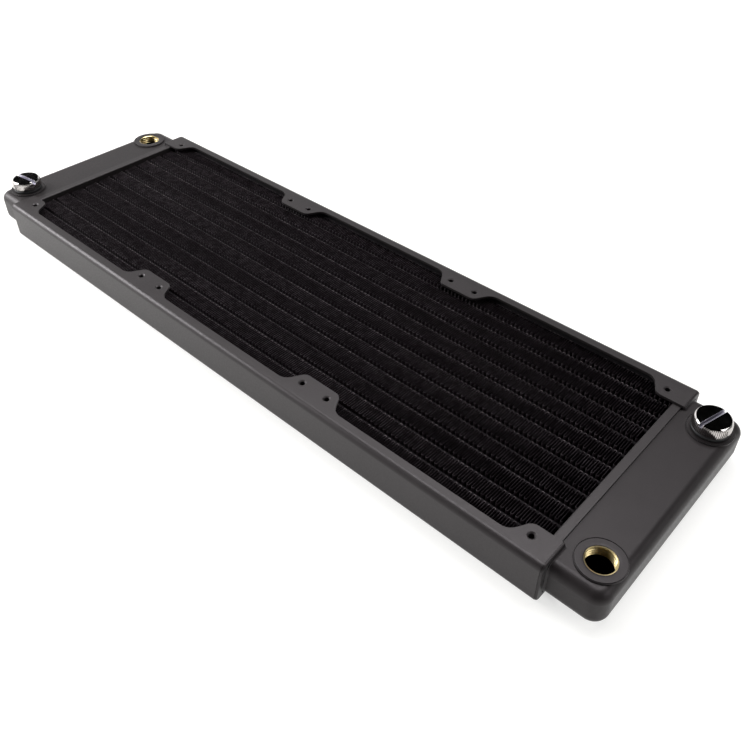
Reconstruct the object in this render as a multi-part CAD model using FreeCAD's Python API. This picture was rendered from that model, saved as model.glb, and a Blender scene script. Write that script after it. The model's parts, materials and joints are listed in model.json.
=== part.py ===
"""Slim liquid cooling radiator for three 120 mm fans, as an assembly of separate solids.

Frame: millimetres, +X along the length, +Y across the width towards the rear side,
+Z up through the thickness. The origin is the middle of the footprint, at the bottom
face of the side frames. Each piece is written to parts/NODE.step.
"""
import FreeCAD, Part
import math
import os

Vector = FreeCAD.Vector
UP = Vector(0, 0, 1)
ORIGIN = Vector(0, 0, 0)

# Fans and their screws
FAN_PITCH = 120.0
FAN_COUNT = 3
FAN_HOLE_SPACING = 105.0
FAN_HOLE_RADIUS = 1.25
FAN_HOLE_MOUTH_RADIUS = 1.9
FAN_HOLE_MOUTH_DEPTH = 0.4
COLLAR_RADIUS = 2.3
COLLAR_DEPTH = 2.5

# Side frames: folded sheet channels, open towards the core
FRAME_LENGTH = 365.0
FRAME_WIDTH = 124.0
FRAME_HEIGHT = 21.0
FRAME_SHEET = 1.2
FRAME_BEND_RADIUS = 2.6
FLANGE_EDGE_Y = 56.2
LOBE_EDGE_Y = 47.1
LOBE_HALF_FLAT = 8.0
LOBE_TIP_RADIUS = 4.0
LOBE_ROOT_RADIUS = 6.0
LOBE_SLOPE = math.radians(60.0)

# End tanks: drawn caps with a neck that slides into the header tray, and a rim turned out to the side frames
OVERALL_LENGTH = 413.2
TANK_SHEET = 1.2
TANK_HALF_WIDTH = 58.25
TANK_INSET_Z = 1.8
TANK_CORNER_RADIUS = 6.5
TANK_EDGE_RADIUS = 4.5
TANK_START_X = FRAME_LENGTH / 2 + 0.05
RIM_THICKNESS = 0.9
RIM_INSET = 0.15
RIM_EDGE_RADIUS = 0.6
RIM_FOOT_RADIUS = 1.0

# Header trays: slotted plates with a rim turned outwards around the tank's neck
HEADER_HALF_WIDTH = 58.95
HEADER_FACE_X = 177.6
HEADER_SHEET = 1.2
HEADER_RIM_SHEET = 0.8
HEADER_RIM_END_X = 181.6
HEADER_GAP = 0.05
HEADER_CORNER_RADIUS = 2.0
HEADER_BEND_RADIUS = 0.7

# Core: flat tubes with folded fins between them, and a side plate outside the last fins
TUBE_COUNT = 11
TUBE_PITCH = 9.55
TUBE_THICKNESS = 2.0
TUBE_DEPTH = 11.0
TUBE_WALL = 0.3
TUBE_PAST_HEADER = 0.5
CORE_BOTTOM_Z = 3.5
CORE_DEPTH = 14.0
FIN_PERIOD = 2.31
FIN_CREST = 0.75
FIN_SHEET = 0.1
SIDE_PLATE_SHEET = 0.8
SIDE_PLATE_REACH_Y = 60.65

# Ports: a threaded bush soldered through a pad near each corner
PORT_X = 196.2
PORT_Y = 43.8
PAD_RADIUS = 9.4
PAD_RISE = 0.1
PAD_BOTTOM_Z = 15.9
BUSH_FLANGE_RADIUS = 9.9
BUSH_FLANGE_THICKNESS = 0.5
BUSH_BARREL_RADIUS = 8.2
BUSH_HOLE_GAP = 0.05
BUSH_LENGTH = 5.0
THREAD_MINOR_RADIUS = 5.72
PORT_MOUTH_RADIUS = 6.45
PORT_MOUTH_DEPTH = 0.35

# Stop plugs, each with a sealing ring under its head
SHANK_RADIUS = 5.65
SHANK_LENGTH = 4.8
SHANK_CHAMFER = 0.6
SEAT_GAP = 0.02
SEAL_THICKNESS = 1.38
SEAL_INNER_RADIUS = 6.25
SEAL_OUTER_RADIUS = 8.05
SEAL_NECK_RADIUS = 6.2
HEAD_RADIUS = 8.2
HEAD_TOP_RADIUS = 7.15
HEAD_HEIGHT = 5.1
HEAD_CHAMFER_HEIGHT = 1.3
HEAD_FOOT_CHAMFER = 0.6
SLOT_WIDTH = 1.9
SLOT_DEPTH = 1.8
SLOT_ANGLES = {"front_left": 8.0, "rear_right": 75.0}

# Worked out from the values above
tank_top_z = FRAME_HEIGHT - TANK_INSET_Z
pad_top_z = tank_top_z + PAD_RISE
port_face_z = pad_top_z + BUSH_FLANGE_THICKNESS
core_middle_z = CORE_BOTTOM_Z + CORE_DEPTH / 2
fin_width = TUBE_PITCH - TUBE_THICKNESS
fin_row_count = TUBE_COUNT + 1
outer_fin_edge_y = fin_row_count * TUBE_PITCH / 2 - TUBE_THICKNESS / 2
fold_count = int((2 * HEADER_FACE_X - 1.0) // FIN_PERIOD)
fin_length = fold_count * FIN_PERIOD


def export(shape, node):
    """Write one piece to its own file."""
    shape.exportStep("parts/" + node + ".step")


def half_turn(shape):
    """The same piece at the opposite end or side."""
    turned = shape.copy()
    turned.rotate(ORIGIN, UP, 180)
    return turned


def box(low, high):
    """A block between two opposite corners."""
    size = high - low
    return Part.makeBox(size.x, size.y, size.z, low)


def cylinder(radius, low_z, high_z, x, y):
    """An upright cylinder."""
    return Part.makeCylinder(radius, high_z - low_z, Vector(x, y, low_z))


def line(start, end):
    return Part.LineSegment(start, end).toShape()


def arc(centre, radius, start_angle, end_angle, place):
    """An arc in a flat outline; place turns two outline coordinates into a point."""
    def on_arc(angle):
        return place(centre[0] + radius * math.cos(angle), centre[1] + radius * math.sin(angle))
    middle = (start_angle + end_angle) / 2
    return Part.Arc(on_arc(start_angle), on_arc(middle), on_arc(end_angle)).toShape()


def face_of(edges):
    return Part.Face(Part.Wire(Part.__sortEdges__(edges)))


def parallel_edges(shape, direction, test):
    """Straight edges along a direction whose midpoint passes a test."""
    found = []
    for edge in shape.Edges:
        if isinstance(edge.Curve, Part.Line) and abs(edge.Curve.Direction.dot(direction)) > 0.999:
            if test(edge.CenterOfMass):
                found.append(edge)
    return found


# Side frames

def fan_hole_places():
    """X of every fan screw hole along one side."""
    places = []
    for fan in range(FAN_COUNT):
        middle = (fan - (FAN_COUNT - 1) / 2) * FAN_PITCH
        places.append(middle - FAN_HOLE_SPACING / 2)
        places.append(middle + FAN_HOLE_SPACING / 2)
    return places


def flange_outline():
    """Flat outline of one flange: a lobe at each pair of screw holes, arcs between them."""
    def at(x, y):
        return Vector(x, y, 0)

    quarter = math.pi / 2
    slope_normal = quarter - LOBE_SLOPE
    tip_y = LOBE_EDGE_Y + LOBE_TIP_RADIUS
    root_y = FLANGE_EDGE_Y - LOBE_ROOT_RADIUS
    slope_start = (LOBE_HALF_FLAT + LOBE_TIP_RADIUS * math.cos(slope_normal),
                   tip_y - LOBE_TIP_RADIUS * math.sin(slope_normal))
    slope_end_y = root_y + LOBE_ROOT_RADIUS * math.sin(slope_normal)
    slope_end_x = slope_start[0] + (slope_end_y - slope_start[1]) / math.tan(LOBE_SLOPE)
    root_x = slope_end_x + LOBE_ROOT_RADIUS * math.cos(slope_normal)

    half_length = FRAME_LENGTH / 2
    outer_y = FRAME_WIDTH / 2 - FRAME_BEND_RADIUS
    lobes = [(bay - FAN_COUNT / 2) * FAN_PITCH for bay in range(FAN_COUNT + 1)]
    edges = [line(at(-half_length, LOBE_EDGE_Y), at(-half_length, outer_y)),
             line(at(-half_length, outer_y), at(half_length, outer_y)),
             line(at(half_length, outer_y), at(half_length, LOBE_EDGE_Y))]
    tip_starts = []
    for left, right in zip(lobes[:-1], lobes[1:]):
        for lobe, side in ((left, 1), (right, -1)):
            def mirrored(x, y, lobe=lobe, side=side):
                return at(lobe + side * x, y)
            edges.append(arc((LOBE_HALF_FLAT, tip_y), LOBE_TIP_RADIUS, -quarter, -slope_normal, mirrored))
            edges.append(line(mirrored(*slope_start), mirrored(slope_end_x, slope_end_y)))
            edges.append(arc((root_x, root_y), LOBE_ROOT_RADIUS, quarter, math.pi - slope_normal, mirrored))
            tip_starts.append(lobe + side * LOBE_HALF_FLAT)
        edges.append(line(at(left + root_x, FLANGE_EDGE_Y), at(right - root_x, FLANGE_EDGE_Y)))
    stops = [-half_length] + tip_starts + [half_length]
    for start, end in zip(stops[::2], stops[1::2]):
        edges.append(line(at(start, LOBE_EDGE_Y), at(end, LOBE_EDGE_Y)))
    return face_of(edges)


def web_outline():
    """Section of the upright wall with its two bends, at the frame's left end."""
    def at(y, z):
        return Vector(-FRAME_LENGTH / 2, y, z)

    quarter = math.pi / 2
    outer_y = FRAME_WIDTH / 2
    inner_y = outer_y - FRAME_SHEET
    bend_y = outer_y - FRAME_BEND_RADIUS
    inner_radius = FRAME_BEND_RADIUS - FRAME_SHEET
    low = FRAME_BEND_RADIUS
    high = FRAME_HEIGHT - FRAME_BEND_RADIUS
    edges = [arc((bend_y, low), FRAME_BEND_RADIUS, -quarter, 0, at),
             line(at(outer_y, low), at(outer_y, high)),
             arc((bend_y, high), FRAME_BEND_RADIUS, 0, quarter, at),
             line(at(bend_y, FRAME_HEIGHT), at(bend_y, FRAME_HEIGHT - FRAME_SHEET)),
             arc((bend_y, high), inner_radius, quarter, 0, at),
             line(at(inner_y, high), at(inner_y, low)),
             arc((bend_y, low), inner_radius, 0, -quarter, at),
             line(at(bend_y, FRAME_SHEET), at(bend_y, 0))]
    return face_of(edges)


def make_rear_side_frame():
    """A channel with scalloped flanges and a threaded collar behind every screw hole."""
    web = web_outline().extrude(Vector(FRAME_LENGTH, 0, 0))
    flange = flange_outline().extrude(Vector(0, 0, FRAME_SHEET))
    top_flange = flange.translated(Vector(0, 0, FRAME_HEIGHT - FRAME_SHEET))
    frame = web.fuse([flange, top_flange])

    hole_y = FAN_HOLE_SPACING / 2
    top_collar_z = FRAME_HEIGHT - COLLAR_DEPTH
    collars = []
    bores = []
    for x in fan_hole_places():
        collars.append(cylinder(COLLAR_RADIUS, FRAME_SHEET / 2, COLLAR_DEPTH, x, hole_y))
        collars.append(cylinder(COLLAR_RADIUS, top_collar_z, FRAME_HEIGHT - FRAME_SHEET / 2, x, hole_y))
        bores.append(cylinder(FAN_HOLE_RADIUS, -1, FRAME_HEIGHT + 1, x, hole_y))
        bores.append(Part.makeCone(FAN_HOLE_MOUTH_RADIUS, FAN_HOLE_RADIUS, FAN_HOLE_MOUTH_DEPTH,
                                   Vector(x, hole_y, 0)))
        bores.append(Part.makeCone(FAN_HOLE_MOUTH_RADIUS, FAN_HOLE_RADIUS, FAN_HOLE_MOUTH_DEPTH,
                                   Vector(x, hole_y, FRAME_HEIGHT), -UP))
    return frame.fuse(collars).cut(bores).removeSplitter()


# End tanks

def tank_body(start_x, end_x, half_width, low_z, high_z, corner_radius, edge_radius):
    """A block whose outer end has rounded corners and rounded top and bottom edges."""
    body = box(Vector(start_x, -half_width, low_z), Vector(end_x, half_width, high_z))
    body = body.makeFillet(corner_radius, parallel_edges(body, UP, lambda p: p.x > end_x - 0.1))
    rims = []
    for edge in body.Edges:
        middle = edge.CenterOfMass
        level = abs(edge.BoundBox.ZLength) < 1e-6
        if level and middle.x > start_x + 0.1 and abs(middle.z - low_z) * abs(middle.z - high_z) < 1e-6:
            rims.append(edge)
    return body.makeFillet(edge_radius, rims)


def with_turned_out_rim(skin):
    """The tank's open edge, turned out where it meets the ends of the side frames."""
    half_width = FRAME_WIDTH / 2 - RIM_INSET
    rim_end_x = TANK_START_X + RIM_THICKNESS
    rim = box(Vector(TANK_START_X, -half_width, RIM_INSET),
              Vector(rim_end_x, half_width, FRAME_HEIGHT - RIM_INSET))
    rim = rim.makeFillet(FRAME_BEND_RADIUS, parallel_edges(rim, Vector(1, 0, 0), lambda p: True))
    body = skin.fuse(rim)

    def edges_on_rim_face(shape, at_foot):
        found = []
        for edge in shape.Edges:
            reach = max(abs(edge.BoundBox.YMin), abs(edge.BoundBox.YMax))
            inside = (reach < TANK_HALF_WIDTH + 0.01 and edge.BoundBox.ZMin > TANK_INSET_Z - 0.01
                      and edge.BoundBox.ZMax < tank_top_z + 0.01)
            if edge.BoundBox.XLength < 1e-6 and abs(edge.CenterOfMass.x - rim_end_x) < 1e-3:
                if inside == at_foot:
                    found.append(edge)
        return found

    body = body.makeFillet(RIM_EDGE_RADIUS, edges_on_rim_face(body, False))
    body = body.makeFillet(RIM_FOOT_RADIUS, edges_on_rim_face(body, True))
    past_foot = rim_end_x + RIM_FOOT_RADIUS + 0.5
    gaps = [box(Vector(TANK_START_X - 1, -LOBE_EDGE_Y, tank_top_z),
                Vector(past_foot, LOBE_EDGE_Y, FRAME_HEIGHT + 1)),
            box(Vector(TANK_START_X - 1, -LOBE_EDGE_Y, -1),
                Vector(past_foot, LOBE_EDGE_Y, TANK_INSET_Z))]
    return body.cut(gaps)


def make_right_end_tank():
    """A hollow cap with a neck, and two pads with a hole for the port bushes."""
    end_x = OVERALL_LENGTH / 2
    low_z = TANK_INSET_Z
    skin = tank_body(TANK_START_X, end_x, TANK_HALF_WIDTH, low_z, tank_top_z,
                     TANK_CORNER_RADIUS, TANK_EDGE_RADIUS)
    hollow = tank_body(TANK_START_X + TANK_SHEET, end_x - TANK_SHEET, TANK_HALF_WIDTH - TANK_SHEET,
                       low_z + TANK_SHEET, tank_top_z - TANK_SHEET,
                       TANK_CORNER_RADIUS - TANK_SHEET, TANK_EDGE_RADIUS - TANK_SHEET)

    neck_y = HEADER_HALF_WIDTH - HEADER_RIM_SHEET - HEADER_GAP
    neck_low_z = FRAME_SHEET + HEADER_GAP + HEADER_RIM_SHEET + HEADER_GAP
    neck_high_z = FRAME_HEIGHT - neck_low_z
    neck_start_x = HEADER_FACE_X + HEADER_SHEET + HEADER_GAP
    neck = box(Vector(neck_start_x, -neck_y, neck_low_z),
               Vector(TANK_START_X + TANK_SHEET, neck_y, neck_high_z))
    neck = neck.makeFillet(HEADER_CORNER_RADIUS - HEADER_RIM_SHEET,
                           parallel_edges(neck, Vector(1, 0, 0), lambda p: True))
    neck_hollow = box(Vector(neck_start_x - 1, -neck_y + TANK_SHEET, neck_low_z + TANK_SHEET),
                      Vector(TANK_START_X + 2 * TANK_SHEET, neck_y - TANK_SHEET, neck_high_z - TANK_SHEET))

    pads = []
    holes = []
    for y in (-PORT_Y, PORT_Y):
        pads.append(cylinder(PAD_RADIUS, PAD_BOTTOM_Z, pad_top_z, PORT_X, y))
        holes.append(cylinder(BUSH_BARREL_RADIUS + BUSH_HOLE_GAP, PAD_BOTTOM_Z - 1, pad_top_z + 1, PORT_X, y))
    shell = with_turned_out_rim(skin).fuse(neck).cut([hollow, neck_hollow])
    return shell.fuse(pads).cut(holes).removeSplitter()


# Header trays and core

def flat_tube_outline(thickness, depth, x):
    """Section of a flat tube: straight sides with round ends at top and bottom."""
    def at(y, z):
        return Vector(x, y, z)

    radius = thickness / 2
    low = core_middle_z - depth / 2 + radius
    high = core_middle_z + depth / 2 - radius
    edges = [line(at(-radius, low), at(-radius, high)),
             arc((0, high), radius, math.pi, 0, at),
             line(at(radius, high), at(radius, low)),
             arc((0, low), radius, 0, -math.pi, at)]
    return face_of(edges)


def tube_places():
    return [(number - (TUBE_COUNT - 1) / 2) * TUBE_PITCH for number in range(TUBE_COUNT)]


def make_right_header_tray():
    """A plate with one slot for each tube, and its rim turned outwards."""
    low_z = FRAME_SHEET + HEADER_GAP
    high_z = FRAME_HEIGHT - low_z
    along = Vector(1, 0, 0)
    tray = box(Vector(HEADER_FACE_X, -HEADER_HALF_WIDTH, low_z),
               Vector(HEADER_RIM_END_X, HEADER_HALF_WIDTH, high_z))
    tray = tray.makeFillet(HEADER_CORNER_RADIUS, parallel_edges(tray, along, lambda p: True))
    face_edges = [edge for edge in tray.Edges
                  if edge.BoundBox.XLength < 1e-6 and edge.CenterOfMass.x < HEADER_FACE_X + 0.1]
    tray = tray.makeFillet(HEADER_BEND_RADIUS, face_edges)

    inset = HEADER_RIM_SHEET
    well = box(Vector(HEADER_FACE_X + HEADER_SHEET, -HEADER_HALF_WIDTH + inset, low_z + inset),
               Vector(HEADER_RIM_END_X + 1, HEADER_HALF_WIDTH - inset, high_z - inset))
    well = well.makeFillet(HEADER_CORNER_RADIUS - inset, parallel_edges(well, along, lambda p: True))
    slot = flat_tube_outline(TUBE_THICKNESS, TUBE_DEPTH, HEADER_FACE_X - 1).extrude(Vector(5, 0, 0))
    slots = [slot.translated(Vector(0, y, 0)) for y in tube_places()]
    return tray.cut([well] + slots)


def make_tube():
    """The tube on the centre line."""
    half_length = HEADER_FACE_X + HEADER_SHEET + TUBE_PAST_HEADER
    along = Vector(2 * half_length, 0, 0)
    outside = flat_tube_outline(TUBE_THICKNESS, TUBE_DEPTH, -half_length).extrude(along)
    waterway = flat_tube_outline(TUBE_THICKNESS - 2 * TUBE_WALL, TUBE_DEPTH - 2 * TUBE_WALL,
                                 -half_length).extrude(along)
    return outside.cut(waterway)


def sheet_outline(path, thickness):
    """Closed outline of a sheet that follows a path of straight runs, with mitred corners."""
    left = []
    right = []
    for index, point in enumerate(path):
        before = point - path[index - 1] if index > 0 else path[1] - point
        after = path[index + 1] - point if index + 1 < len(path) else before
        first = Vector(-before.y, before.x, 0).normalize()
        second = Vector(-after.y, after.x, 0).normalize()
        mitre = (first + second).normalize()
        reach = mitre * (thickness / 2 / mitre.dot(first))
        left.append(point + reach)
        right.append(point - reach)
    return left + right[::-1]


def make_fin_strip():
    """One folded strip on the centre line, its folds standing between two tubes."""
    half_width = (fin_width - FIN_SHEET) / 2
    path = []
    for fold in range(fold_count):
        x = -fin_length / 2 + fold * FIN_PERIOD
        path += [Vector(x, half_width, 0),
                 Vector(x + FIN_CREST, half_width, 0),
                 Vector(x + FIN_PERIOD / 2, -half_width, 0),
                 Vector(x + FIN_PERIOD / 2 + FIN_CREST, -half_width, 0)]
    outline = sheet_outline(path, FIN_SHEET)
    face = Part.Face(Part.makePolygon(outline + outline[:1]))
    return face.extrude(Vector(0, 0, CORE_DEPTH)).translated(Vector(0, 0, CORE_BOTTOM_Z))


def make_rear_core_side_plate():
    """A shallow channel that closes the core outside its last row of fins."""
    top_z = CORE_BOTTOM_Z + CORE_DEPTH
    inner_y = outer_fin_edge_y
    plate = box(Vector(-fin_length / 2, inner_y, CORE_BOTTOM_Z),
                Vector(fin_length / 2, SIDE_PLATE_REACH_Y, top_z))
    inside = box(Vector(-fin_length / 2 - 1, inner_y + SIDE_PLATE_SHEET, CORE_BOTTOM_Z + SIDE_PLATE_SHEET),
                 Vector(fin_length / 2 + 1, SIDE_PLATE_REACH_Y + 1, top_z - SIDE_PLATE_SHEET))
    return plate.cut(inside)


# Ports and plugs

def turned(profile):
    """A round piece from (radius, height) points, turned about the vertical axis."""
    points = [Vector(radius, 0, z) for radius, z in profile]
    face = Part.Face(Part.makePolygon(points + points[:1]))
    return face.revolve(ORIGIN, UP, 360)


def make_port_bush():
    """A flanged bush; its bore is plain, at the thread's minor radius."""
    foot_z = port_face_z - BUSH_LENGTH
    return turned([(THREAD_MINOR_RADIUS, foot_z),
                   (BUSH_BARREL_RADIUS, foot_z),
                   (BUSH_BARREL_RADIUS, pad_top_z),
                   (BUSH_FLANGE_RADIUS, pad_top_z),
                   (BUSH_FLANGE_RADIUS, port_face_z),
                   (PORT_MOUTH_RADIUS, port_face_z),
                   (THREAD_MINOR_RADIUS, port_face_z - PORT_MOUTH_DEPTH)])


def make_o_ring():
    """The sealing ring, squeezed flat between the port face and the plug's head."""
    def at(radius, z):
        return Vector(radius, 0, z)

    half = SEAL_THICKNESS / 2
    middle_z = port_face_z + SEAT_GAP + half
    inner = SEAL_INNER_RADIUS + half
    outer = SEAL_OUTER_RADIUS - half
    quarter = math.pi / 2
    edges = [line(at(inner, middle_z - half), at(outer, middle_z - half)),
             arc((outer, middle_z), half, -quarter, quarter, at),
             line(at(outer, middle_z + half), at(inner, middle_z + half)),
             arc((inner, middle_z), half, quarter, 3 * quarter, at)]
    return face_of(edges).revolve(ORIGIN, UP, 360)


def make_plug(slot_angle):
    """A slotted plug: wide head, neck inside the sealing ring, plain shank."""
    head_z = port_face_z + SEAT_GAP + SEAL_THICKNESS + SEAT_GAP
    top_z = head_z + HEAD_HEIGHT
    neck_z = port_face_z + 2 * SEAT_GAP
    shank_z = port_face_z - SHANK_LENGTH
    plug = turned([(0, shank_z),
                   (SHANK_RADIUS - SHANK_CHAMFER, shank_z),
                   (SHANK_RADIUS, shank_z + SHANK_CHAMFER),
                   (SHANK_RADIUS, neck_z),
                   (SEAL_NECK_RADIUS, neck_z),
                   (SEAL_NECK_RADIUS, head_z),
                   (HEAD_RADIUS - HEAD_FOOT_CHAMFER, head_z),
                   (HEAD_RADIUS, head_z + HEAD_FOOT_CHAMFER),
                   (HEAD_RADIUS, top_z - HEAD_CHAMFER_HEIGHT),
                   (HEAD_TOP_RADIUS, top_z),
                   (0, top_z)])
    reach = HEAD_RADIUS + 1
    slot = box(Vector(-reach, -SLOT_WIDTH / 2, top_z - SLOT_DEPTH), Vector(reach, SLOT_WIDTH / 2, top_z + 1))
    slot.rotate(ORIGIN, UP, slot_angle)
    return plug.cut(slot)


def main():
    os.makedirs("parts", exist_ok=True)

    rear_frame = make_rear_side_frame()
    export(rear_frame, "rear_side_frame")
    export(half_turn(rear_frame), "front_side_frame")

    right_tank = make_right_end_tank()
    export(right_tank, "right_end_tank")
    export(half_turn(right_tank), "left_end_tank")

    right_header = make_right_header_tray()
    export(right_header, "right_header_tray")
    export(half_turn(right_header), "left_header_tray")

    tube = make_tube()
    for number, y in enumerate(tube_places(), start=1):
        export(tube.translated(Vector(0, y, 0)), "tube_%02d" % number)

    fin_strip = make_fin_strip()
    for row in range(fin_row_count):
        y = (row - (fin_row_count - 1) / 2) * TUBE_PITCH
        export(fin_strip.translated(Vector(0, y, 0)), "fin_strip_%02d" % (row + 1))

    rear_plate = make_rear_core_side_plate()
    export(rear_plate, "rear_core_side_plate")
    export(half_turn(rear_plate), "front_core_side_plate")

    bush = make_port_bush()
    o_ring = make_o_ring()
    corners = {"front_left": Vector(-PORT_X, -PORT_Y, 0), "rear_left": Vector(-PORT_X, PORT_Y, 0),
               "front_right": Vector(PORT_X, -PORT_Y, 0), "rear_right": Vector(PORT_X, PORT_Y, 0)}
    for corner, place in corners.items():
        export(bush.translated(place), corner + "_port_bush")
    for corner, slot_angle in SLOT_ANGLES.items():
        export(o_ring.translated(corners[corner]), corner + "_o_ring")
        export(make_plug(slot_angle).translated(corners[corner]), corner + "_plug")


main()
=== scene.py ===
"""Looks of a slim liquid cooling radiator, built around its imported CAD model.

Lengths below are in millimetres and are turned into metres where a mesh is made. The frame is the CAD's own:
X along the radiator, Y across it towards the rear side, Z up, with the floor at zero.
"""
import json
import math
import random

import bpy
from mathutils import Euler, Matrix, Vector

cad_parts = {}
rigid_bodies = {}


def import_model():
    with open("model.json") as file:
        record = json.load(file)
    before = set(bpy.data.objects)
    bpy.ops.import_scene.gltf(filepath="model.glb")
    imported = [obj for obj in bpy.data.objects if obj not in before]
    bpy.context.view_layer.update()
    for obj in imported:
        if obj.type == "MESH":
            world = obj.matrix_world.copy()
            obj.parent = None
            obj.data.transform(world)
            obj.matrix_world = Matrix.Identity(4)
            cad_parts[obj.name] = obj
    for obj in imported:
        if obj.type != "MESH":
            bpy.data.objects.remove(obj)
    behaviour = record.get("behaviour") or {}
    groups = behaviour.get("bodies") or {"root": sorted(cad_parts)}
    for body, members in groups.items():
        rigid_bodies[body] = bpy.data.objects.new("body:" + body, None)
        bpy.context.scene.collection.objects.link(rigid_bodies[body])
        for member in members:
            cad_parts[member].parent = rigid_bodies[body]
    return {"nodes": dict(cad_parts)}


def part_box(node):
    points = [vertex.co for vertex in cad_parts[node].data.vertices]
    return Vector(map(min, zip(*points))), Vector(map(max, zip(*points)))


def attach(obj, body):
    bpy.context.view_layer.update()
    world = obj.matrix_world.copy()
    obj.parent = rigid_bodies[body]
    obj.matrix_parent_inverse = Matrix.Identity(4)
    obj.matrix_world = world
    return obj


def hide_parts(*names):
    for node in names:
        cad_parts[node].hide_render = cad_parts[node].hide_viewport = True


MM = 0.001

for leftover in list(bpy.data.objects):
    bpy.data.objects.remove(leftover)

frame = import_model()
bpy.context.view_layer.update()
nodes = frame["nodes"]

# Camera: place in millimetres, line of sight as a direction, both in the CAD frame
CAMERA_PLACE = (253.58, -226.22, 264.74)
CAMERA_SIGHT = (-0.52290, 0.57459, -0.62962)
CAMERA_ROLL = math.radians(0.225)
CAMERA_LENS = 39.24
CAMERA_SENSOR = 36.0
CAMERA_SHIFT = -0.06
CAMERA_CLIP_START = 0.01

# Fins: one folded and louvred sheet for each row
FIN_FOLDS = 153
FIN_PERIOD = 2.31
FIN_SHEET = 0.12
FIN_CREST_HALF = 0.22
FIN_CORNER_RADIUS = 0.30
FIN_CORNER_STEPS = 3
FIN_PHASE_SPREAD = 0.35
FIN_FOLD_SPREAD = 0.05
# Width of the painted highlight along the fins' upper and lower edges, in millimetres
FIN_HIGHLIGHT_EDGE = 0.12
LOUVRE_COUNT = 8
LOUVRE_PITCH = 1.38
LOUVRE_SWING = 0.24
LOUVRE_BORDER = 0.55
LOUVRE_BEND = 0.35
LOUVRE_LAND = 0.7

# Port threads: G1/4, nineteen to the inch
THREAD_PITCH = 1.337
THREAD_FEMALE_CREST = 5.72
THREAD_FEMALE_DEPTH = 0.86
THREAD_MALE_ROOT = 5.60
THREAD_MALE_DEPTH = 0.78
THREAD_ROWS_PER_TURN = 12
ROUND_STEPS = 120

# Port bushes, from the port face downwards
PORT_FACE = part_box("front_right_port_bush")[1].z / MM
BUSH_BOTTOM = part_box("front_right_port_bush")[0].z / MM
BUSH_FLANGE_THICKNESS = 0.5
BUSH_FLANGE_RADIUS = 9.9
BUSH_BARREL_RADIUS = 8.2
BUSH_MOUTH_RADIUS = 6.45
BUSH_MOUTH_DEPTH = 0.35
BUSH_EDGE = 0.12
BUSH_FACE_RADII = (7.6, 8.8)
BUSH_GROOVE_INNER = 9.42
BUSH_GROOVE_OUTER = 9.68
BUSH_GROOVE_DEPTH = 0.30
BUSH_GROOVE_EDGE = 0.05
BUSH_GROOVE_DRAFT = 0.03
THREAD_START_ABOVE = 0.1
THREAD_START_BELOW = 0.45
# The paint ends inside the mouth's chamfer. Each point is (radius from the mouth's, depth below the face)
MOUTH_PAINT = ((-0.22, 0.14), (-0.05, 0.04), (0.08, 0.0))

# Stop plugs: a threaded shank, a neck inside the sealing ring and a knurled, slotted head
PLUG_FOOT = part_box("front_left_plug")[0].z / MM
PLUG_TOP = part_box("front_left_plug")[1].z / MM
PLUG_NECK_RADIUS = 6.2
PLUG_NECK_BOTTOM = PORT_FACE - 0.5
PLUG_NECK_RISE = 0.5
PLUG_NECK_STEP = 0.05
PLUG_HEAD_BOTTOM = PLUG_TOP - 5.1
PLUG_FOOT_TAPER = 0.6
PLUG_HEAD_RADIUS = 8.2
PLUG_TOP_RADIUS = 7.15
PLUG_CHAMFER_BOTTOM = PLUG_TOP - 0.95
PLUG_SHOULDER_RADIUS = 7.92
PLUG_SHOULDER_BOTTOM = PLUG_TOP - 2.9
PLUG_CHAMFER_ROUNDING = (0.32, 0.40)
PLUG_TOP_EDGE_OUT = 0.04
PLUG_TOP_EDGE_IN = 0.03
PLUG_TOP_EDGE_DEPTH = 0.05
PLUG_EDGE = 0.10
PLUG_FOOT_THREAD_FADE = 0.7
PLUG_NECK_THREAD_FADE = 0.5
PLUG_SLOT_WIDTH = 1.6
PLUG_SLOT_FLOOR = PLUG_TOP - 1.8
SLOT_DEGREES = {"front_left": 8.0, "rear_right": 75.0}
KNURL_TEETH = 60
KNURL_DEPTH = 0.36
KNURL_CREST_SHARE = 0.30
KNURL_STEPS_PER_TOOTH = 8
KNURL_ROWS = 12

# Sealing rings
RING_INNER = 6.25
RING_OUTER = 8.05
RING_SQUARENESS = 0.72
RING_SECTION_STEPS = 20

# Floor, in metres: its glow starts at inner and is full at outer, away from the radiator's middle; the
# unglowing patch under the radiator is a painted shadow
FLOOR_REACH = 6.0
FLOOR_LEVEL = -0.00005
FLOOR_COLOUR = (0.35, 0.345, 0.335, 1.0)
FLOOR_GLOW = 0.74
FLOOR_GLOW_COLOUR = (1.0, 1.0, 0.99, 1.0)
FLOOR_SHADOW_EDGES = {"X": (0.165, 0.190), "Y": (0.045, 0.058)}

# Studio: brightness by the direction's height, then by its place from -X to +X
WORLD_STRENGTH = 1.6
WORLD_BY_HEIGHT = [(0.0, 1.0), (0.33, 1.0), (0.42, 0.004), (0.80, 0.004), (0.93, 0.05), (1.0, 0.05)]
WORLD_BY_SIDE = [(0.05, 1.0), (0.20, 0.80), (0.45, 0.18), (1.0, 0.14)]


# ---------------------------------------------------------------- materials

def principled(tree_nodes):
    """The Principled shader among a material's nodes."""
    return next(node for node in tree_nodes if node.type == "BSDF_PRINCIPLED")


def new_material(name):
    """A material with its Principled shader: (material, nodes, links, shader)."""
    material = bpy.data.materials.new(name)
    material.use_nodes = True
    tree = material.node_tree
    return material, tree.nodes, tree.links, principled(tree.nodes)


def texture_place(tree_nodes):
    """The object's own coordinates, in metres."""
    return tree_nodes.new("ShaderNodeTexCoord").outputs["Object"]


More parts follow.
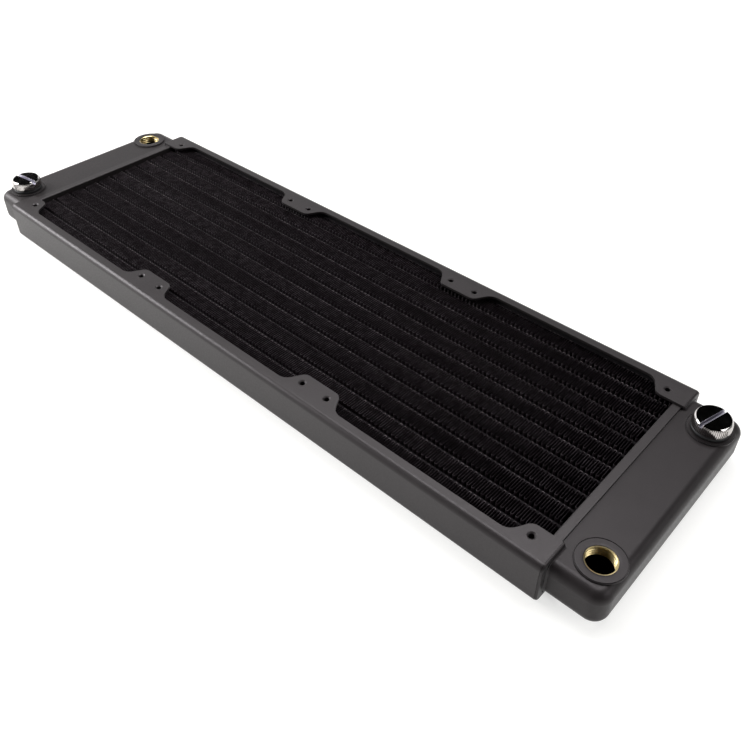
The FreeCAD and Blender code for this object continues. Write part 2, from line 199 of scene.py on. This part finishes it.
def noise(tree_nodes, links, place, size_mm, detail=3.0, roughness=0.55):
    """Noise whose features are about size_mm across."""
    node = tree_nodes.new("ShaderNodeTexNoise")
    node.inputs["Scale"].default_value = 1.0 / (size_mm * MM)
    node.inputs["Detail"].default_value = detail
    node.inputs["Roughness"].default_value = roughness
    links.new(place, node.inputs["Vector"])
    return node.outputs["Fac"]


def ramp(tree_nodes, links, value, stops):
    """A colour ramp: stops are (place, grey or colour)."""
    node = tree_nodes.new("ShaderNodeValToRGB")
    while len(node.color_ramp.elements) < len(stops):
        node.color_ramp.elements.new(0.5)
    for element, (place, colour) in zip(node.color_ramp.elements, stops):
        if isinstance(colour, (int, float)):
            colour = (colour, colour, colour)
        element.position = place
        element.color = (*colour, 1.0)
    links.new(value, node.inputs["Fac"])
    return node.outputs["Color"]


def multiplied(tree_nodes, links, one, other):
    """The product of two values."""
    node = tree_nodes.new("ShaderNodeMath")
    node.operation = "MULTIPLY"
    links.new(one, node.inputs[0])
    links.new(other, node.inputs[1])
    return node.outputs["Value"]


def tinted(tree_nodes, links, one, other):
    """The product of two colours."""
    mix = tree_nodes.new("ShaderNodeMix")
    mix.data_type = "RGBA"
    mix.blend_type = "MULTIPLY"
    mix.inputs["Factor"].default_value = 1.0
    links.new(one, mix.inputs["A"])
    links.new(other, mix.inputs["B"])
    return mix.outputs["Result"]


def bump(tree_nodes, links, shader, layers):
    """Stacks bumps: layers are (height, depth in millimetres)."""
    last = None
    for height, depth in layers:
        node = tree_nodes.new("ShaderNodeBump")
        node.inputs["Strength"].default_value = 1.0
        node.inputs["Distance"].default_value = depth * MM
        links.new(height, node.inputs["Height"])
        if last is not None:
            links.new(last, node.inputs["Normal"])
        last = node.outputs["Normal"]
    links.new(last, shader.inputs["Normal"])


def paint_material(name, dark, light, rough_low, rough_high, peel_depth, gloss, sheen=0.0):
    """Satin powder coat: mottled colour, orange peel and a fine grain."""
    material, tree_nodes, links, shader = new_material(name)
    place = texture_place(tree_nodes)
    mottle = noise(tree_nodes, links, place, 14.0, detail=5.0)
    peel = noise(tree_nodes, links, place, 0.9, detail=2.0)
    grain = noise(tree_nodes, links, place, 0.16, detail=2.0, roughness=0.7)
    colour = ramp(tree_nodes, links, mottle, [(0.30, dark), (0.70, light)])
    speck = ramp(tree_nodes, links, grain, [(0.30, 0.86), (0.72, 1.12)])
    links.new(tinted(tree_nodes, links, colour, speck), shader.inputs["Base Color"])
    rough = ramp(tree_nodes, links, peel, [(0.3, rough_low), (0.7, rough_high)])
    links.new(rough, shader.inputs["Roughness"])
    shader.inputs["Specular IOR Level"].default_value = gloss
    shader.inputs["Specular Tint"].default_value = (1.0, 0.94, 0.97, 1.0)
    shader.inputs["Sheen Weight"].default_value = sheen
    shader.inputs["Sheen Roughness"].default_value = 0.30
    bump(tree_nodes, links, shader, [(peel, peel_depth), (grain, peel_depth * 0.35)])
    return material


def fin_material(name, highlight_colour):
    """Thin black paint on the fins, with a painted highlight of lighter colour along the folds' upper and
    lower edges.
    """
    low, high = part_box("fin_strip_01")
    # The fins' base colour is much darker than the frame's paint: painted shade for the depths of the core
    material = paint_material(name, (0.0026, 0.0014, 0.0021), (0.0044, 0.0027, 0.0037),
                              0.34, 0.46, 0.004, gloss=0.05)
    tree_nodes, links = material.node_tree.nodes, material.node_tree.links
    shader = principled(tree_nodes)
    painted = shader.inputs["Base Color"].links[0].from_socket
    place = texture_place(tree_nodes)
    parts = tree_nodes.new("ShaderNodeSeparateXYZ")
    links.new(place, parts.inputs["Vector"])
    height = tree_nodes.new("ShaderNodeMapRange")
    height.inputs["From Min"].default_value = low.z
    height.inputs["From Max"].default_value = high.z
    links.new(parts.outputs["Z"], height.inputs["Value"])
    share = FIN_HIGHLIGHT_EDGE * MM / (high.z - low.z)
    # Painted highlight: a lighter colour along the folds' upper and lower edges, broken up by noise and
    # streaks
    edge_highlight = ramp(tree_nodes, links, height.outputs["Result"],
                [(share, 1.0), (1.5 * share, 0.0), (1.0 - 1.5 * share, 0.0), (1.0 - share, 1.0)])
    highlight_noise = noise(tree_nodes, links, place, 3.0, detail=3.0)
    patchy = ramp(tree_nodes, links, highlight_noise, [(0.40, 0.15), (0.60, 1.0)])
    along = tree_nodes.new("ShaderNodeMapping")
    along.inputs["Scale"].default_value = (0.06, 1.0, 0.06)
    links.new(place, along.inputs["Vector"])
    streak = noise(tree_nodes, links, along.outputs["Vector"], 11.0, detail=1.0)
    row_by_row = ramp(tree_nodes, links, streak, [(0.38, 0.40), (0.60, 1.0)])
    amount = multiplied(tree_nodes, links, multiplied(tree_nodes, links, edge_highlight, patchy), row_by_row)
    mix = tree_nodes.new("ShaderNodeMix")
    mix.data_type = "RGBA"
    mix.inputs["B"].default_value = (*highlight_colour, 1.0)
    links.new(amount, mix.inputs["Factor"])
    links.new(painted, mix.inputs["A"])
    links.new(mix.outputs["Result"], shader.inputs["Base Color"])
    return material


def brass_material():
    """Bare turned brass with a little tarnish."""
    material, tree_nodes, links, shader = new_material("turned_brass")
    place = texture_place(tree_nodes)
    tarnish = noise(tree_nodes, links, place, 2.6, detail=3.0)
    scratch = noise(tree_nodes, links, place, 0.12, detail=2.0)
    colour = ramp(tree_nodes, links, tarnish,
                  [(0.25, (0.50, 0.40, 0.19)), (0.55, (0.62, 0.51, 0.27)), (0.8, (0.72, 0.61, 0.36))])
    links.new(colour, shader.inputs["Base Color"])
    shader.inputs["Metallic"].default_value = 1.0
    rough = ramp(tree_nodes, links, tarnish, [(0.2, 0.34), (0.8, 0.26)])
    links.new(rough, shader.inputs["Roughness"])
    bump(tree_nodes, links, shader, [(scratch, 0.006)])
    return material


def chrome_material(name, tint, rough_low, rough_high, grain_depth):
    """Black chrome: a dark mirror with faint smears and polishing grain."""
    material, tree_nodes, links, shader = new_material(name)
    place = texture_place(tree_nodes)
    smear = noise(tree_nodes, links, place, 3.5, detail=4.0)
    grain = noise(tree_nodes, links, place, 0.10, detail=2.0)
    lighter = tuple(min(1.0, channel * 1.25) for channel in tint)
    colour = ramp(tree_nodes, links, smear, [(0.3, tint), (0.7, lighter)])
    links.new(colour, shader.inputs["Base Color"])
    shader.inputs["Metallic"].default_value = 1.0
    rough = ramp(tree_nodes, links, smear, [(0.3, rough_low), (0.7, rough_high)])
    links.new(rough, shader.inputs["Roughness"])
    bump(tree_nodes, links, shader, [(grain, grain_depth)])
    return material


def rubber_material():
    """Moulded nitrile rubber: near black, dull, with a fine dusty grain."""
    material, tree_nodes, links, shader = new_material("nitrile_rubber")
    place = texture_place(tree_nodes)
    bloom = noise(tree_nodes, links, place, 1.4, detail=4.0)
    grain = noise(tree_nodes, links, place, 0.09, detail=2.0)
    colour = ramp(tree_nodes, links, bloom,
                  [(0.3, (0.010, 0.010, 0.011)), (0.75, (0.022, 0.022, 0.023))])
    links.new(colour, shader.inputs["Base Color"])
    rough = ramp(tree_nodes, links, bloom, [(0.3, 0.48), (0.7, 0.66)])
    links.new(rough, shader.inputs["Roughness"])
    bump(tree_nodes, links, shader, [(grain, 0.008)])
    return material


FRAME_PAINT = paint_material("satin_powder_coat", (0.0118, 0.0098, 0.0102), (0.0154, 0.0131, 0.0135),
                             0.38, 0.48, 0.010, gloss=0.36, sheen=0.14)
TANK_PAINT = paint_material("tank_powder_coat", (0.0118, 0.0098, 0.0102), (0.0154, 0.0131, 0.0135),
                            0.38, 0.48, 0.010, gloss=0.25, sheen=0.12)
CORE_PAINT = paint_material("core_side_paint", (0.008, 0.007, 0.008), (0.012, 0.011, 0.012),
                            0.50, 0.62, 0.008, gloss=0.25)
# The tubes' colour is darker than the frame's paint: painted shade for their recess between the fin rows
TUBE_SHADED_PAINT = paint_material("tube_paint_painted_shade", (0.005, 0.004, 0.005), (0.008, 0.007, 0.008),
                            0.60, 0.75, 0.006, gloss=0.08)
FIN_SHADE_AND_HIGHLIGHT_PAINT = fin_material("fin_paint_shade_and_highlight", (0.050, 0.042, 0.047))
# A lit copy of the fin paint for the +Y crests: its edge colour is a brighter painted highlight
FIN_LIT_CREST_PAINT = fin_material("fin_lit_crest_paint", (0.150, 0.130, 0.138))
BRASS = brass_material()
CHROME = chrome_material("black_chrome_mirror", (0.50, 0.48, 0.47), 0.04, 0.08, 0.0008)
CHROME_MILLED = chrome_material("black_chrome_milled", (0.27, 0.26, 0.30), 0.28, 0.38, 0.006)
RUBBER = rubber_material()


# ---------------------------------------------------------------- mesh tools

def mesh_object(name, points, faces, materials, face_materials=None, sharp_degrees=35.0):
    """A smooth-shaded object from points in millimetres, with its edges sharp above an angle."""
    mesh = bpy.data.meshes.new(name)
    mesh.from_pydata([(x * MM, y * MM, z * MM) for x, y, z in points], [], faces)
    for material in materials:
        mesh.materials.append(material)
    if face_materials is not None:
        mesh.polygons.foreach_set("material_index", face_materials)
    mesh.shade_smooth()
    mesh.set_sharp_from_angle(angle=math.radians(sharp_degrees))
    thing = bpy.data.objects.new(name, mesh)
    bpy.context.scene.collection.objects.link(thing)
    return thing


def bake_modifiers(thing):
    """Replaces the object's mesh by what its modifiers make of it."""
    bpy.context.view_layer.update()
    evaluated = thing.evaluated_get(bpy.context.evaluated_depsgraph_get())
    mesh = bpy.data.meshes.new_from_object(evaluated)
    thing.modifiers.clear()
    old = thing.data
    thing.data = mesh
    bpy.data.meshes.remove(old)
    mesh.name = thing.name


def ring_of(radius, height, steps, shape=None):
    """Points of one turned ring. shape(radius, height, angle) may change the radius."""
    ring = []
    for step in range(steps):
        angle = 2.0 * math.pi * step / steps
        reach = radius if shape is None else shape(radius, height, angle)
        ring.append((reach * math.cos(angle), reach * math.sin(angle), height))
    return ring


def turned_faces(ring_count, steps, closed):
    """Quads between neighbouring rings, and back to the first ring if closed."""
    faces = []
    last = ring_count if closed else ring_count - 1
    for row in range(last):
        after = (row + 1) % ring_count
        for step in range(steps):
            beside = (step + 1) % steps
            faces.append((row * steps + step, row * steps + beside,
                          after * steps + beside, after * steps + step))
    return faces


def thread_wave(height, angle):
    """0 at the thread's inner radius and 1 at its outer radius, for a right-hand thread."""
    phase = height / THREAD_PITCH - angle / (2.0 * math.pi)
    return 0.5 - 0.5 * math.cos(2.0 * math.pi * phase)


def fade(value, start, end):
    """0 at start, 1 at end, smooth between."""
    share = min(1.0, max(0.0, (value - start) / (end - start)))
    return share * share * (3.0 - 2.0 * share)


# ---------------------------------------------------------------- fins

def fin_centres(seed):
    """Places along X of the fold centres, a little uneven as in a real folded strip."""
    dice = random.Random(seed)
    phase = dice.uniform(-FIN_PHASE_SPREAD, FIN_PHASE_SPREAD)
    first = -0.5 * FIN_FOLDS * FIN_PERIOD + phase
    half = FIN_PERIOD / 2.0
    return [first + half * (step + 0.5) + dice.uniform(-FIN_FOLD_SPREAD, FIN_FOLD_SPREAD)
            for step in range(2 * FIN_FOLDS)]


class Sheet:
    """Points and faces of an open sheet."""

    def __init__(self):
        self.points = []
        self.faces = []
        self.face_materials = []

    def point(self, x, y, z):
        self.points.append((x, y, z))
        return len(self.points) - 1

    def face(self, *corners, material=0):
        self.faces.append(tuple(corners))
        self.face_materials.append(material)


def louvre_rows(bottom, top):
    """Bands across the leg: (low, high, direction), in two groups that lean opposite ways."""
    half = LOUVRE_COUNT // 2
    middle = (bottom + top) / 2.0
    rows = []
    for index in range(half):
        low = middle - LOUVRE_LAND / 2.0 - (half - index) * LOUVRE_PITCH
        rows.append((low, low + LOUVRE_PITCH, 1.0))
    for index in range(half):
        low = middle + LOUVRE_LAND / 2.0 + index * LOUVRE_PITCH
        rows.append((low, low + LOUVRE_PITCH, -1.0))
    return rows


def add_leg(sheet, start, end, top_edge, bottom_edge, bands):
    """A leg from start to end (x, y), with its louvres. The two edges are (low point, high point)."""
    low_z = sheet.points[top_edge[0]][2]
    high_z = sheet.points[top_edge[1]][2]
    run = Vector((end[0] - start[0], end[1] - start[1]))
    length = run.length

    def on_leg(along, height, swing=0.0):
        share = along / length
        return sheet.point(start[0] + run.x * share + swing, start[1] + run.y * share, height)

    near, far = LOUVRE_BORDER, length - LOUVRE_BORDER
    heights = sorted({value for low, high, _ in bands for value in (low, high)})
    near_points = {height: on_leg(near, height) for height in heights}
    far_points = {height: on_leg(far, height) for height in heights}
    near_low, near_high = on_leg(near, low_z), on_leg(near, high_z)
    far_low, far_high = on_leg(far, low_z), on_leg(far, high_z)
    ordered_near = [near_points[height] for height in heights]
    ordered_far = [far_points[height] for height in heights]
    sheet.face(top_edge[0], near_low, *ordered_near, near_high, top_edge[1])
    sheet.face(bottom_edge[1], far_high, *reversed(ordered_far), far_low, bottom_edge[0])
    sheet.face(near_low, far_low, ordered_far[0], ordered_near[0])
    sheet.face(ordered_near[-1], ordered_far[-1], far_high, near_high)
    middle = len(bands) // 2
    land_low, land_high = bands[middle - 1][1], bands[middle][0]
    sheet.face(near_points[land_low], far_points[land_low], far_points[land_high], near_points[land_high])
    for low, high, way in bands:
        swing = way * LOUVRE_SWING
        low_near, low_far = on_leg(near + LOUVRE_BEND, low, -swing), on_leg(far - LOUVRE_BEND, low, -swing)
        high_near, high_far = on_leg(near + LOUVRE_BEND, high, swing), on_leg(far - LOUVRE_BEND, high, swing)
        sheet.face(near_points[low], low_near, high_near, near_points[high])
        sheet.face(low_near, low_far, high_far, high_near)
        sheet.face(low_far, far_points[low], far_points[high], high_far)


def fin_strip(name, seed):
    """One row's folded and louvred fin strip, in place of its CAD node."""
    low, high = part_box(name)
    middle_y = (low.y + high.y) / (2.0 * MM)
    reach = (high.y - low.y) / (2.0 * MM) - FIN_SHEET / 2.0
    bottom, top = low.z / MM, high.z / MM
    bands = louvre_rows(bottom, top)
    sheet = Sheet()
    leg_start = None
    for index, centre in enumerate(fin_centres(seed)):
        side = 1.0 if index % 2 == 0 else -1.0
        corner_y = middle_y + side * (reach - FIN_CORNER_RADIUS)
        path = []
        for step in range(FIN_CORNER_STEPS + 1):
            angle = math.pi - 0.5 * math.pi * step / FIN_CORNER_STEPS
            path.append((centre - FIN_CREST_HALF + FIN_CORNER_RADIUS * math.cos(angle),
                         corner_y + side * FIN_CORNER_RADIUS * math.sin(angle)))
        for step in range(FIN_CORNER_STEPS + 1):
            angle = 0.5 * math.pi * (1.0 - step / FIN_CORNER_STEPS)
            path.append((centre + FIN_CREST_HALF + FIN_CORNER_RADIUS * math.cos(angle),
                         corner_y + side * FIN_CORNER_RADIUS * math.sin(angle)))
        edges = [(sheet.point(x, y, bottom), sheet.point(x, y, top)) for x, y in path]
        for before, after in zip(edges, edges[1:]):
            # Crests bending towards +Y take the lit copy of the fin paint, with its brighter painted
            # highlight
            sheet.face(before[0], after[0], after[1], before[1], material=1 if side > 0.0 else 0)
        if leg_start is not None:
            add_leg(sheet, leg_start[0], path[0], leg_start[1], edges[0], bands)
        leg_start = (path[-1], edges[-1])
    strip = mesh_object(f"{name}_folds", sheet.points, sheet.faces, [FIN_SHADE_AND_HIGHLIGHT_PAINT, FIN_LIT_CREST_PAINT],
                        sheet.face_materials)
    thickness = strip.modifiers.new("sheet", "SOLIDIFY")
    thickness.thickness = FIN_SHEET * MM
    thickness.offset = 0.0
    thickness.use_quality_normals = True
    bake_modifiers(strip)
    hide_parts(name)
    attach(strip, "root")


# ---------------------------------------------------------------- port bushes

def bush_profile():
    """Closed profile of a bush as (radius, height, threaded, painted), from the bore's foot upwards."""
    bore_top = PORT_FACE - BUSH_MOUTH_DEPTH
    flange_bottom = PORT_FACE - BUSH_FLANGE_THICKNESS
    rows = int(round((bore_top - BUSH_BOTTOM) / THREAD_PITCH * THREAD_ROWS_PER_TURN))
    profile = []
    for row in range(rows + 1):
        height = BUSH_BOTTOM + (bore_top - BUSH_BOTTOM) * row / rows
        profile.append((THREAD_FEMALE_CREST, height, True, False))
    painted = [(BUSH_MOUTH_RADIUS + further, PORT_FACE - depth) for further, depth in MOUTH_PAINT]
    for radius in (*BUSH_FACE_RADII, BUSH_GROOVE_INNER - BUSH_GROOVE_EDGE):
        painted.append((radius, PORT_FACE))
    groove_floor = PORT_FACE - BUSH_GROOVE_DEPTH
    painted.append((BUSH_GROOVE_INNER, PORT_FACE - BUSH_GROOVE_EDGE))
    painted.append((BUSH_GROOVE_INNER + BUSH_GROOVE_DRAFT, groove_floor))
    painted.append((BUSH_GROOVE_OUTER - BUSH_GROOVE_DRAFT, groove_floor))
    painted.append((BUSH_GROOVE_OUTER, PORT_FACE - BUSH_GROOVE_EDGE))
    rounding = 0.3 * BUSH_EDGE
    painted.append((BUSH_FLANGE_RADIUS - BUSH_EDGE, PORT_FACE))
    painted.append((BUSH_FLANGE_RADIUS - rounding, PORT_FACE - rounding))
    painted.append((BUSH_FLANGE_RADIUS, PORT_FACE - BUSH_EDGE))
    painted.append((BUSH_FLANGE_RADIUS, flange_bottom + BUSH_EDGE))
    painted.append((BUSH_FLANGE_RADIUS - BUSH_EDGE, flange_bottom))
    profile.extend((radius, height, False, True) for radius, height in painted)
    profile.append((BUSH_BARREL_RADIUS, flange_bottom, False, False))
    profile.append((BUSH_BARREL_RADIUS, BUSH_BOTTOM, False, False))
    return profile


def middle_of(name):
    """X and Y of the middle of a CAD node, in millimetres."""
    low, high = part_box(name)
    return (low.x + high.x) / (2.0 * MM), (low.y + high.y) / (2.0 * MM)


def port_bush(name):
    """A flanged, threaded bush in place of its CAD node: painted outside, bare brass in the bore."""
    centre_x, centre_y = middle_of(name)
    profile = bush_profile()
    bore_top = PORT_FACE - BUSH_MOUTH_DEPTH

    def female_thread_shape(radius, height, angle):
        depth = THREAD_FEMALE_DEPTH * thread_wave(height, angle)
        return radius + depth * fade(bore_top - height, -THREAD_START_ABOVE, THREAD_START_BELOW)

    points = []
    for radius, height, threaded, _ in profile:
        for x, y, z in ring_of(radius, height, ROUND_STEPS, female_thread_shape if threaded else None):
            points.append((x + centre_x, y + centre_y, z))
    faces = turned_faces(len(profile), ROUND_STEPS, True)
    face_materials = []
    for row in range(len(profile)):
        painted = profile[row][3] and profile[(row + 1) % len(profile)][3]
        face_materials.extend([1 if painted else 0] * ROUND_STEPS)
    bush = mesh_object(f"{name}_turned", points, faces, [BRASS, TANK_PAINT], face_materials)
    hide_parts(name)
    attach(bush, "root")


# ---------------------------------------------------------------- plugs and rings

def head_radius(height):
    """Outline of the head between the chamfer and the foot: a rounded shoulder, then straight down."""
    rise = max(0.0, (height - PLUG_SHOULDER_BOTTOM) / (PLUG_CHAMFER_BOTTOM - PLUG_SHOULDER_BOTTOM))
    return PLUG_HEAD_RADIUS - (PLUG_HEAD_RADIUS - PLUG_SHOULDER_RADIUS) * rise * rise


def knurl_shape(radius, height, angle):
    """Straight knurling cut into the head's rim: flat crests, sloping flanks."""
    tooth = abs(((angle * KNURL_TEETH / (2.0 * math.pi)) % 1.0) - 0.5) * 2.0
    cut = min(1.0, max(0.0, (tooth - KNURL_CREST_SHARE) / (1.0 - 2.0 * KNURL_CREST_SHARE)))
    return radius - KNURL_DEPTH * cut


def male_thread_shape(radius, height, angle):
    """The shank's thread, which fades out below the neck and at the foot."""
    at_foot = fade(height, PLUG_FOOT, PLUG_FOOT + PLUG_FOOT_THREAD_FADE)
    at_neck = fade(-height, -PLUG_NECK_BOTTOM, -PLUG_NECK_BOTTOM + PLUG_NECK_THREAD_FADE)
    return radius + THREAD_MALE_DEPTH * thread_wave(height, angle) * at_foot * at_neck


def turned_solid(name, sections, steps, materials):
    """A closed turned solid. sections are (radius, height, shape), from the bottom upwards."""
    points = []
    for radius, height, shape in sections:
        points.extend(ring_of(radius, height, steps, shape))
    faces = turned_faces(len(sections), steps, False)
    faces.append(tuple(reversed(range(steps))))
    faces.append(tuple((len(sections) - 1) * steps + step for step in range(steps)))
    return mesh_object(name, points, faces, materials)


def slot_cutter(slot_degrees):
    """A long bar whose sides flare at the plug's top, so that the slot gets broken edges."""
    half = PLUG_SLOT_WIDTH / 2.0
    reach = 2.0 * PLUG_HEAD_RADIUS
    flared = half + 2.0 * PLUG_EDGE
    outline = [(-half, PLUG_SLOT_FLOOR), (half, PLUG_SLOT_FLOOR), (half, PLUG_TOP - PLUG_EDGE),
               (flared, PLUG_TOP + PLUG_EDGE), (-flared, PLUG_TOP + PLUG_EDGE), (-half, PLUG_TOP - PLUG_EDGE)]
    count = len(outline)
    points = [(-reach, y, z) for y, z in outline] + [(reach, y, z) for y, z in outline]
    faces = [tuple(reversed(range(count))), tuple(range(count, 2 * count))]
    for corner in range(count):
        beside = (corner + 1) % count
        faces.append((corner, beside, beside + count, corner + count))
    cutter = mesh_object("slot_cutter", points, faces, [CHROME_MILLED])
    cutter.data.transform(Matrix.Rotation(math.radians(slot_degrees), 4, "Z"))
    return cutter


def plug_sections():
    """Shank, neck, knurled head and chamfered top, from the foot upwards."""
    sections = []
    thread_rows = int(round((PLUG_NECK_BOTTOM - PLUG_FOOT) / THREAD_PITCH * THREAD_ROWS_PER_TURN))
    for row in range(thread_rows + 1):
        height = PLUG_FOOT + (PLUG_NECK_BOTTOM - PLUG_FOOT) * row / thread_rows
        sections.append((THREAD_MALE_ROOT, height, male_thread_shape))
    sections.append((THREAD_MALE_ROOT, PLUG_NECK_BOTTOM + PLUG_NECK_RISE, None))
    sections.append((PLUG_NECK_RADIUS, PLUG_NECK_BOTTOM + PLUG_NECK_RISE + PLUG_NECK_STEP, None))
    sections.append((PLUG_NECK_RADIUS, PLUG_HEAD_BOTTOM, None))
    sections.append((PLUG_HEAD_RADIUS - PLUG_FOOT_TAPER, PLUG_HEAD_BOTTOM, knurl_shape))
    foot = PLUG_HEAD_BOTTOM + PLUG_FOOT_TAPER
    for row in range(KNURL_ROWS + 1):
        height = foot + (PLUG_CHAMFER_BOTTOM - foot) * row / KNURL_ROWS
        sections.append((head_radius(height), height, knurl_shape))
    inward, upward = PLUG_CHAMFER_ROUNDING
    sections.append((PLUG_SHOULDER_RADIUS - inward, PLUG_CHAMFER_BOTTOM + upward, None))
    sections.append((PLUG_TOP_RADIUS + PLUG_TOP_EDGE_OUT, PLUG_TOP - PLUG_TOP_EDGE_DEPTH, None))
    sections.append((PLUG_TOP_RADIUS - PLUG_TOP_EDGE_IN, PLUG_TOP, None))
    return sections


def stop_plug(name, body, slot_degrees):
    """A slotted, knurled stop plug in place of its CAD node. The slot lies at slot_degrees from X."""
    centre_x, centre_y = middle_of(name)
    steps = KNURL_TEETH * KNURL_STEPS_PER_TOOTH
    plug = turned_solid(f"{name}_turned", plug_sections(), steps, [CHROME, CHROME_MILLED])
    cutter = slot_cutter(slot_degrees)
    slot = plug.modifiers.new("slot", "BOOLEAN")
    slot.operation = "DIFFERENCE"
    slot.solver = "EXACT"
    slot.material_mode = "TRANSFER"
    slot.object = cutter
    flat = plug.modifiers.new("flat_faces", "WEIGHTED_NORMAL")
    flat.keep_sharp = True
    flat.weight = 80
    bake_modifiers(plug)
    bpy.data.objects.remove(cutter)
    plug.data.transform(Matrix.Translation((centre_x * MM, centre_y * MM, 0.0)))
    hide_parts(name)
    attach(plug, body)


def sealing_ring(name, body):
    """A slightly squashed sealing ring in place of its CAD node."""
    low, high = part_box(name)
    centre_x, centre_y = middle_of(name)
    middle_radius = (RING_INNER + RING_OUTER) / 2.0
    half_width = (RING_OUTER - RING_INNER) / 2.0
    middle_height = (low.z + high.z) / (2.0 * MM)
    half_height = (high.z - low.z) / (2.0 * MM)
    points = []
    for step in range(RING_SECTION_STEPS):
        turn = 2.0 * math.pi * step / RING_SECTION_STEPS
        across, up = math.cos(turn), math.sin(turn)
        radius = middle_radius + half_width * math.copysign(abs(across) ** RING_SQUARENESS, across)
        height = middle_height + half_height * math.copysign(abs(up) ** RING_SQUARENESS, up)
        for x, y, z in ring_of(radius, height, ROUND_STEPS):
            points.append((x + centre_x, y + centre_y, z))
    faces = turned_faces(RING_SECTION_STEPS, ROUND_STEPS, True)
    ring = mesh_object(f"{name}_moulded", points, faces, [RUBBER], sharp_degrees=80.0)
    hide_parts(name)
    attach(ring, body)


# ---------------------------------------------------------------- build the pieces

fin_names = sorted(name for name in nodes if name.startswith("fin_strip_"))
for number, fin_name in enumerate(fin_names):
    fin_strip(fin_name, seed=100 + number)

for corner in ("front_left", "rear_left", "front_right", "rear_right"):
    port_bush(f"{corner}_port_bush")

for corner, slot_degrees in SLOT_DEGREES.items():
    stop_plug(f"{corner}_plug", f"{corner}_stop", slot_degrees)
    sealing_ring(f"{corner}_o_ring", f"{corner}_seal")

for name, node in nodes.items():
    if name.startswith("tube_"):
        material = TUBE_SHADED_PAINT
    elif name.endswith("core_side_plate"):
        material = CORE_PAINT
    elif name.endswith("end_tank"):
        material = TANK_PAINT
    elif name.endswith(("side_frame", "header_tray")):
        material = FRAME_PAINT
    else:
        continue
    for material_slot in node.material_slots:
        material_slot.material = material


# ---------------------------------------------------------------- floor, lights and camera

def floor():
    """A plain pale floor, larger than the camera's view. It glows a little, but not under the radiator, where
    the missing glow is a painted shadow.
    """
    mesh = bpy.data.meshes.new("floor")
    corners = [(x * FLOOR_REACH, y * FLOOR_REACH, FLOOR_LEVEL)
               for x, y in ((-1, -1), (1, -1), (1, 1), (-1, 1))]
    mesh.from_pydata(corners, [], [(0, 1, 2, 3)])
    thing = bpy.data.objects.new("floor", mesh)
    bpy.context.scene.collection.objects.link(thing)
    material, tree_nodes, links, shader = new_material("pale_floor")
    shader.inputs["Base Color"].default_value = FLOOR_COLOUR
    shader.inputs["Emission Color"].default_value = FLOOR_GLOW_COLOUR
    parts = tree_nodes.new("ShaderNodeSeparateXYZ")
    links.new(texture_place(tree_nodes), parts.inputs["Vector"])
    # Painted shadow: the glow fades out under the radiator's footprint
    outside = []
    for axis, (inner, outer) in FLOOR_SHADOW_EDGES.items():
        away = tree_nodes.new("ShaderNodeMath")
        away.operation = "ABSOLUTE"
        links.new(parts.outputs[axis], away.inputs[0])
        clear = tree_nodes.new("ShaderNodeMapRange")
        clear.inputs["From Min"].default_value = inner
        clear.inputs["From Max"].default_value = outer
        clear.inputs["To Max"].default_value = FLOOR_GLOW
        links.new(away.outputs["Value"], clear.inputs["Value"])
        outside.append(clear.outputs["Result"])
    glow = tree_nodes.new("ShaderNodeMath")
    glow.operation = "MAXIMUM"
    links.new(outside[0], glow.inputs[0])
    links.new(outside[1], glow.inputs[1])
    links.new(glow.outputs["Value"], shader.inputs["Emission Strength"])
    shader.inputs["Roughness"].default_value = 0.9
    shader.inputs["Specular IOR Level"].default_value = 0.1
    mesh.materials.append(material)


def softbox(name, place, aim, width, depth, power):
    """A rectangular soft light at place, pointing at aim. Lengths in metres, power in watts."""
    light = bpy.data.lights.new(name, "AREA")
    light.shape = "RECTANGLE"
    light.size = width
    light.size_y = depth
    light.energy = power
    thing = bpy.data.objects.new(name, light)
    bpy.context.scene.collection.objects.link(thing)
    thing.location = place
    thing.rotation_euler = (Vector(aim) - Vector(place)).to_track_quat("-Z", "Y").to_euler()


def studio_world():
    """A white sweep near the horizon, a dark room above it and a faint ceiling, brighter towards -X."""
    world = bpy.data.worlds.new("studio")
    bpy.context.scene.world = world
    world.use_nodes = True
    tree_nodes, links = world.node_tree.nodes, world.node_tree.links
    background = tree_nodes["Background"]
    direction = tree_nodes.new("ShaderNodeTexCoord").outputs["Generated"]
    parts = tree_nodes.new("ShaderNodeSeparateXYZ")
    links.new(direction, parts.inputs["Vector"])
    height = ramp(tree_nodes, links, parts.outputs["Z"], WORLD_BY_HEIGHT)
    across = tree_nodes.new("ShaderNodeMapRange")
    across.inputs["From Min"].default_value = -1.0
    links.new(parts.outputs["X"], across.inputs["Value"])
    side = ramp(tree_nodes, links, across.outputs["Result"], WORLD_BY_SIDE)
    links.new(tinted(tree_nodes, links, height, side), background.inputs["Color"])
    background.inputs["Strength"].default_value = WORLD_STRENGTH


floor()
studio_world()
softbox("overhead_softbox", (-0.18, 0.37, 1.20), (-0.05, 0.0, 0.0), 1.2, 0.70, 20.0)
softbox("left_softbox", (-0.52, -0.28, 0.32), (-0.16, -0.05, 0.0), 0.36, 0.30, 5.0)
softbox("right_softbox", (0.95, 0.25, 0.58), (0.10, 0.0, 0.0), 0.70, 0.40, 3.0)

camera_data = bpy.data.cameras.new("camera")
camera_data.sensor_width = CAMERA_SENSOR
camera_data.lens = CAMERA_LENS
camera_data.shift_y = CAMERA_SHIFT
camera_data.clip_start = CAMERA_CLIP_START
camera = bpy.data.objects.new("camera", camera_data)
bpy.context.scene.collection.objects.link(camera)
camera.location = Vector(CAMERA_PLACE) * MM
level = Vector(CAMERA_SIGHT).to_track_quat("-Z", "Y").to_matrix()
camera.rotation_euler = (level @ Euler((0.0, 0.0, CAMERA_ROLL)).to_matrix()).to_euler()
bpy.context.scene.camera = camera
bpy.context.scene.view_settings.view_transform = "Standard"
